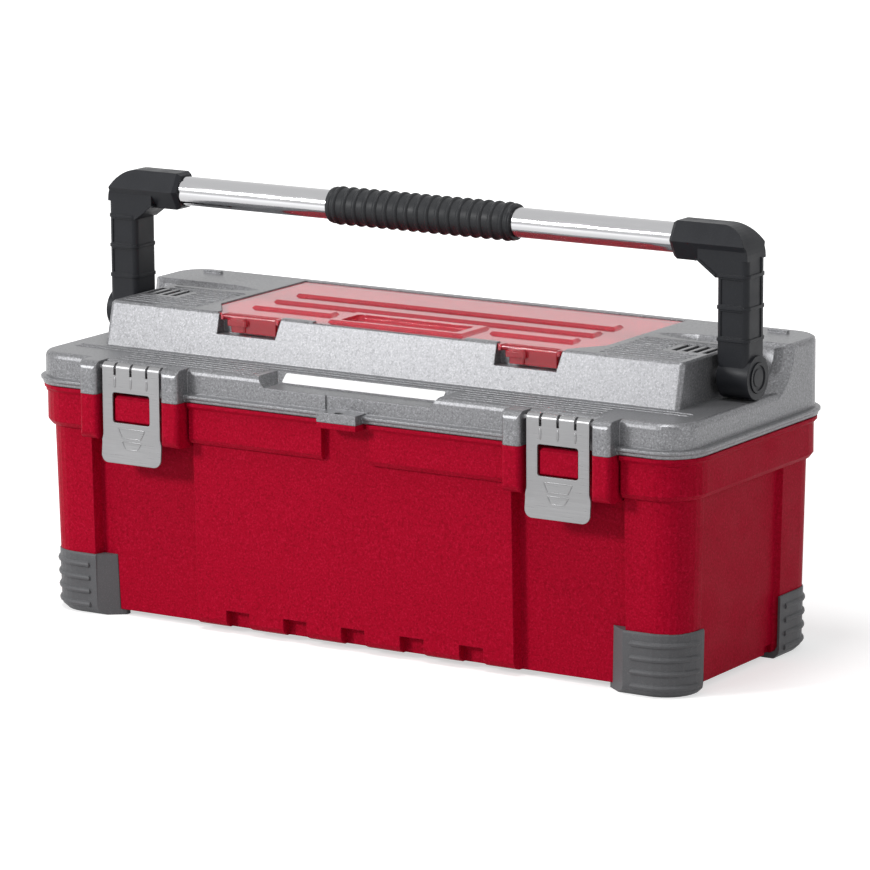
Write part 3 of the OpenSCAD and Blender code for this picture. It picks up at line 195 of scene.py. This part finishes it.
def bar_metal():
    m = Mat("bar_metal", (0.50, 0.50, 0.51), 0.14, 1.0)
    lines = m.noise(900, 3.0, 0.6, stretch=(1, 0.02, 0.02))
    m.tint(m.ramp(m.noise(20, 4.0), 0.5, 0.8, 0, 0.25), (0.50, 0.50, 0.52))
    m.roughness(m.noise(300, 3.0, 0.6, stretch=(0.1, 1, 1)), 0.06, 0.18)
    return m.bump(lines, 0.01, 0.25).m


def plain_steel(name, color, rough):
    m = Mat(name, color, rough, 0.85)
    m.edges(0.4)
    scuff = m.noise(120, 5.0, 0.65)
    m.tint(m.ramp(scuff, 0.5, 0.75, 0, 0.4), tuple(c * 0.7 for c in color))
    m.roughness(scuff, rough - 0.1, rough + 0.12)
    return m.bump(m.noise(900, 2.0), 0.03, 0.3).m


def clear_red(name, color, rough, trans):
    m = Mat(name, color, rough, Transmission_Weight=trans, IOR=1.46, Specular_IOR_Level=0.5)
    m.edges(0.9)
    m.tint(m.ramp(m.noise(12, 3.0), 0.4, 0.75, 0, 0.2), tuple(min(1, c * 1.1) for c in color))
    m.roughness(m.noise(80, 3.0), rough - 0.03, rough + 0.05)
    return m.bump(m.noise(160, 2.0), 0.02, 0.2).m


def bin_plastic():
    m = Mat("bin_plastic", (0.50, 0.006, 0.045), 0.3)
    m.edges(0.6)
    m.tint(m.ramp(m.noise(60, 3.0), 0.45, 0.7, 0, 0.25), (0.36, 0.004, 0.03))
    m.roughness(m.noise(90, 2.0), 0.24, 0.36)
    return m.bump(m.noise(1200, 2.0), 0.04, 0.3).m


def label_white():
    m = Mat("white_label", (0.92, 0.92, 0.92), 0.22, Coat_Weight=0.4, Coat_Roughness=0.1)
    m.edges(0.4)
    m.tint(m.ramp(m.noise(25, 3.0), 0.5, 0.8, 0, 0.3), (0.78, 0.78, 0.80))
    m.roughness(m.noise(50, 3.0), 0.18, 0.28)
    return m.bump(m.noise(500, 2.0), 0.02, 0.2).m


def grip_rubber():
    m = Mat("grip_rubber", (0.012, 0.013, 0.015), 0.45, Specular_IOR_Level=0.25)
    m.edges(0.5)
    grain = m.noise(1600, 2.0, 0.6)
    m.tint(m.ramp(grain, 0.52, 0.72, 0, 0.5), (0.045, 0.046, 0.05))
    m.roughness(m.noise(70, 3.0), 0.42, 0.58)
    return m.bump(grain, 0.06, 0.5).m


MATS = {
    "red_plastic": red_plastic(),
    "silver_plastic": silver_plastic(),
    "foot_plastic": dark_plastic("foot_plastic", (0.100, 0.101, 0.106), (0.19, 0.19, 0.20), 0.5),
    "dark_plastic": dark_plastic("dark_plastic", (0.013, 0.014, 0.017), (0.030, 0.031, 0.036), 0.4),
    "tray_plastic": dark_plastic("tray_plastic", (0.05, 0.05, 0.055), (0.09, 0.09, 0.1), 0.5),
    "latch_steel": latch_steel(),
    "bar_metal": bar_metal(),
    "pin_steel": plain_steel("pin_steel", (0.50, 0.50, 0.51), 0.35),
    "link_steel": plain_steel("link_steel", (0.44, 0.45, 0.46), 0.4),
    "clear_red_plastic": clear_red("clear_red_plastic", (0.92, 0.12, 0.17), 0.10, 0.72),
    "latch_red_plastic": clear_red("latch_red_plastic", (0.62, 0.012, 0.035), 0.12, 0.6),
    "bin_plastic": bin_plastic(),
    "white_label": label_white(),
    "grip_rubber": grip_rubber(),
}

for sub in frame["record"]["subparts"]:
    ob = NODES[sub["node"]]
    ob.data.materials.clear()
    ob.data.materials.append(MATS[sub["material_slot"]])


# ---------------------------------------------------------------- small raised detail

def strip_mesh(name, strips, body, slot):
    """Low half-round strips: each is (centre, run direction, length, up, width, height), in mm."""
    verts, faces = [], []
    sunk = 0.12
    profile = [(-0.5, 0.0), (-0.36, 0.62), (-0.15, 0.95), (0.15, 0.95), (0.36, 0.62), (0.5, 0.0)]
    for c, run, length, up, width, height in strips:
        c, run, up = Vector(c), Vector(run).normalized(), Vector(up).normalized()
        across = up.cross(run)
        end = min(1.2 * width, length / 3)
        stations = [(-length / 2, 0.0), (-length / 2 + end * 0.4, 0.7), (-length / 2 + end, 1.0),
                    (length / 2 - end, 1.0), (length / 2 - end * 0.4, 0.7), (length / 2, 0.0)]
        rings = []
        for s, k in stations:
            ring = []
            for u, h in profile:
                w = u * width * (0.35 + 0.65 * k)
                z = h * height * k - (sunk if h == 0 else 0)
                ring.append(len(verts))
                verts.append((c + run * s + across * w + up * z) * MM)
            rings.append(ring)
        n = len(profile)
        for a, b in zip(rings, rings[1:]):
            for i in range(n):
                j = (i + 1) % n
                faces.append((a[i], a[j], b[j], b[i]))
        faces.append(tuple(reversed(rings[0])))
        faces.append(tuple(rings[-1]))
    me = bpy.data.meshes.new(name)
    me.from_pydata([tuple(v) for v in verts], [], faces)
    me.validate()
    me.update()
    ob = bpy.data.objects.new(name, me)
    bpy.context.scene.collection.objects.link(ob)
    bpy.context.view_layer.objects.active = ob
    me.shade_smooth()
    me.set_sharp_from_angle(angle=math.radians(50))
    me.materials.append(MATS[slot])
    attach(ob, body)
    return ob


X, Y, Z = Vector((1, 0, 0)), Vector((0, 1, 0)), Vector((0, 0, 1))


def span(x0, x1, y, z):
    """A rib along X on a level face."""
    width, height = 3.0, 0.9
    return ((x0 + x1) / 2, y, z), X, abs(x1 - x0), Z, width, height


def lid_ribs():
    """Fine ribs on the lid: on the ledge in front of the housing, and round the slots beside each arm."""
    ledge_z, top_z = 225.0, 262.0
    recess_x, sleeve_x, ledge_x = 95, 236, 300
    cover_x, slots_x, front_x, rear_x = 197, 238, 274, 272
    out = []
    for y in (-111, -103.5, -96, -88.5):
        for s in (-1, 1):
            out.append(span(s * recess_x, s * sleeve_x, y, ledge_z))
    for y in (-81, -73.5):
        out.append(span(-ledge_x, ledge_x, y, ledge_z))
    rows = {front_x: (-46, -38, -30, -22), slots_x: (-14, -6, 2, 10), rear_x: (18, 26)}
    for s in (-1, 1):
        for end, ys in rows.items():
            for y in ys:
                out.append(span(s * cover_x, s * end, y, top_z))
    return strip_mesh("lid_ribs", out, "lid", "silver_plastic")


def outline(points, y):
    """Raised outline through points in the latch's face, as strips from corner to corner."""
    width, height, overlap = 1.1, 0.5, 0.6
    out = []
    for a, b in zip(points, points[1:] + points[:1]):
        a, b = Vector((a[0], y, a[1])), Vector((b[0], y, b[1]))
        out.append((tuple((a + b) / 2), tuple(b - a), (b - a).length + overlap, -Y, width, height))
    return out


def latch_detail(side, s):
    """Pressed detail on a latch: ridges under the slits and two bare trapezoid outlines low down."""
    x, front_y, slit_step = s * 208, -130.0, 58 * 0.28
    ridge_z, ridge_l, ridge_w, ridge_h = 208.5, 9.5, 2.6, 0.8
    out = []
    for i in (-1, 0, 1):
        out.append(((x + i * slit_step, front_y, ridge_z), Z, ridge_l, -Y, ridge_w, ridge_h))
    for z0, z1, low, high in ((161.5, 169.5, 9.5, 13.5), (152.0, 158.5, 6.0, 10.0)):
        out += outline([(x - low, z0), (x + low, z0), (x + high, z1), (x - high, z1)], front_y)
    return strip_mesh("latch_ribs_" + side, out, "front_latch_" + side, "latch_steel")


def panel_tops():
    """Closes the tub above its sunk panels: a shelf from the panel's wall out to the wall under the collar."""
    shelf_z, shelf_top, chamfer = 161.9, 164.4, 0.8
    verts, faces = [], []

    def shelf(inner, outer, start, end, place):
        step = chamfer if outer > inner else -chamfer
        profile = [(inner, shelf_z), (inner, shelf_top - chamfer), (inner + step, shelf_top),
                   (outer, shelf_top), (outer, shelf_z)]
        first, n = len(verts), len(profile)
        for t in (start, end):
            verts.extend(Vector(place(t, d, z)) * MM for d, z in profile)
        faces.append(tuple(range(first, first + n)))
        faces.append(tuple(reversed(range(first + n, first + 2 * n))))
        for i in range(n):
            j = (i + 1) % n
            faces.append((first + i, first + n + i, first + n + j, first + j))

    rear_y, rear_x = (101.9, 112.2), (154.6, 261.4)
    side_x, side_y = (305.4, 310.2), (-78.6, 51.6)
    for s in (-1, 1):
        shelf(*rear_y, s * rear_x[0], s * rear_x[1], lambda t, d, z: (t, d, z))
        shelf(s * side_x[0], s * side_x[1], *side_y, lambda t, d, z: (d, t, z))
    me = bpy.data.meshes.new("panel_tops")
    me.from_pydata([tuple(v) for v in verts], [], faces)
    me.validate()
    bm = bmesh.new()
    bm.from_mesh(me)
    bmesh.ops.recalc_face_normals(bm, faces=bm.faces)
    bm.to_mesh(me)
    bm.free()
    ob = bpy.data.objects.new("panel_tops", me)
    bpy.context.scene.collection.objects.link(ob)
    me.materials.append(MATS["red_plastic"])
    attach(ob, "base")


panel_tops()
lid_ribs()
latch_detail("left", -1)
latch_detail("right", 1)


# ---------------------------------------------------------------- floor and light

def light_path_or(nt):
    """1 for camera, glossy and transmission rays, else 0."""
    lp = nt.nodes.new("ShaderNodeLightPath")
    a = nt.nodes.new("ShaderNodeMath")
    a.operation = "MAXIMUM"
    nt.links.new(lp.outputs["Is Camera Ray"], a.inputs[0])
    nt.links.new(lp.outputs["Is Glossy Ray"], a.inputs[1])
    b = nt.nodes.new("ShaderNodeMath")
    b.operation = "MAXIMUM"
    nt.links.new(a.outputs[0], b.inputs[0])
    nt.links.new(lp.outputs["Is Transmission Ray"], b.inputs[1])
    return b.outputs[0]


def make_floor():
    """A plain floor that takes the shadow and fades to white away from the box."""
    me = bpy.data.meshes.new("floor")
    r = 40.0
    me.from_pydata([(-r, -r, 0), (r, -r, 0), (r, r, 0), (-r, r, 0)], [], [(0, 1, 2, 3)])
    ob = bpy.data.objects.new("floor", me)
    bpy.context.scene.collection.objects.link(ob)
    m = bpy.data.materials.new("floor")
    m.use_nodes = True
    nt = m.node_tree
    p = nt.nodes["Principled BSDF"]
    p.inputs["Base Color"].default_value = (0.62, 0.62, 0.62, 1)
    p.inputs["Roughness"].default_value = 0.9
    p.inputs["Specular IOR Level"].default_value = 0.1
    em = nt.nodes.new("ShaderNodeEmission")
    em.inputs["Color"].default_value = (1, 1, 1, 1)
    geo = nt.nodes.new("ShaderNodeNewGeometry")
    length = nt.nodes.new("ShaderNodeVectorMath")
    length.operation = "LENGTH"
    nt.links.new(geo.outputs["Position"], length.inputs[0])
    far = nt.nodes.new("ShaderNodeMapRange")
    far.inputs["From Min"].default_value = 0.35
    far.inputs["From Max"].default_value = 1.6
    far.inputs["To Min"].default_value = 0.58
    far.inputs["To Max"].default_value = 1.0
    nt.links.new(length.outputs["Value"], far.inputs["Value"])
    k = nt.nodes.new("ShaderNodeMath")
    k.operation = "MULTIPLY"
    nt.links.new(far.outputs["Result"], k.inputs[1])
    nt.links.new(light_path_or(nt), k.inputs[0])
    nt.links.new(k.outputs[0], em.inputs["Strength"])
    add = nt.nodes.new("ShaderNodeAddShader")
    nt.links.new(p.outputs[0], add.inputs[0])
    nt.links.new(em.outputs[0], add.inputs[1])
    nt.links.new(add.outputs[0], nt.nodes["Material Output"].inputs["Surface"])
    me.materials.append(m)


def area_light(name, az, el, dist, size, energy):
    """A round lamp that looks at the middle of the box. az is taken from the front, positive to the right."""
    a, e = math.radians(az), math.radians(el)
    d = Vector((math.sin(a) * math.cos(e), -math.cos(a) * math.cos(e), math.sin(e)))
    data = bpy.data.lights.new(name, "AREA")
    data.shape = "DISK"
    data.size = size
    data.energy = energy
    ob = bpy.data.objects.new(name, data)
    middle = Vector((0, 0, 0.15))
    ob.location = middle + d * dist
    ob.rotation_mode = "QUATERNION"
    ob.rotation_quaternion = (-d).to_track_quat("-Z", "Y")
    bpy.context.scene.collection.objects.link(ob)


def make_world():
    """White to the camera and in reflections, and a soft even light on the object."""
    w = bpy.data.worlds.new("world")
    bpy.context.scene.world = w
    w.use_nodes = True
    nt = w.node_tree
    bg = nt.nodes["Background"]
    bg.inputs["Color"].default_value = (1, 1, 1, 1)
    mix = nt.nodes.new("ShaderNodeMapRange")
    mix.inputs["To Min"].default_value = 0.40
    mix.inputs["To Max"].default_value = 1.0
    nt.links.new(light_path_or(nt), mix.inputs["Value"])
    nt.links.new(mix.outputs["Result"], bg.inputs["Strength"])


make_floor()
make_world()
area_light("key", -34, 24, 3.2, 0.6, 50)
area_light("top", -10, 74, 3.0, 1.2, 40)
area_light("fill", 80, 18, 3.6, 2.0, 12)

scene = bpy.context.scene
scene.view_settings.view_transform = "Standard"
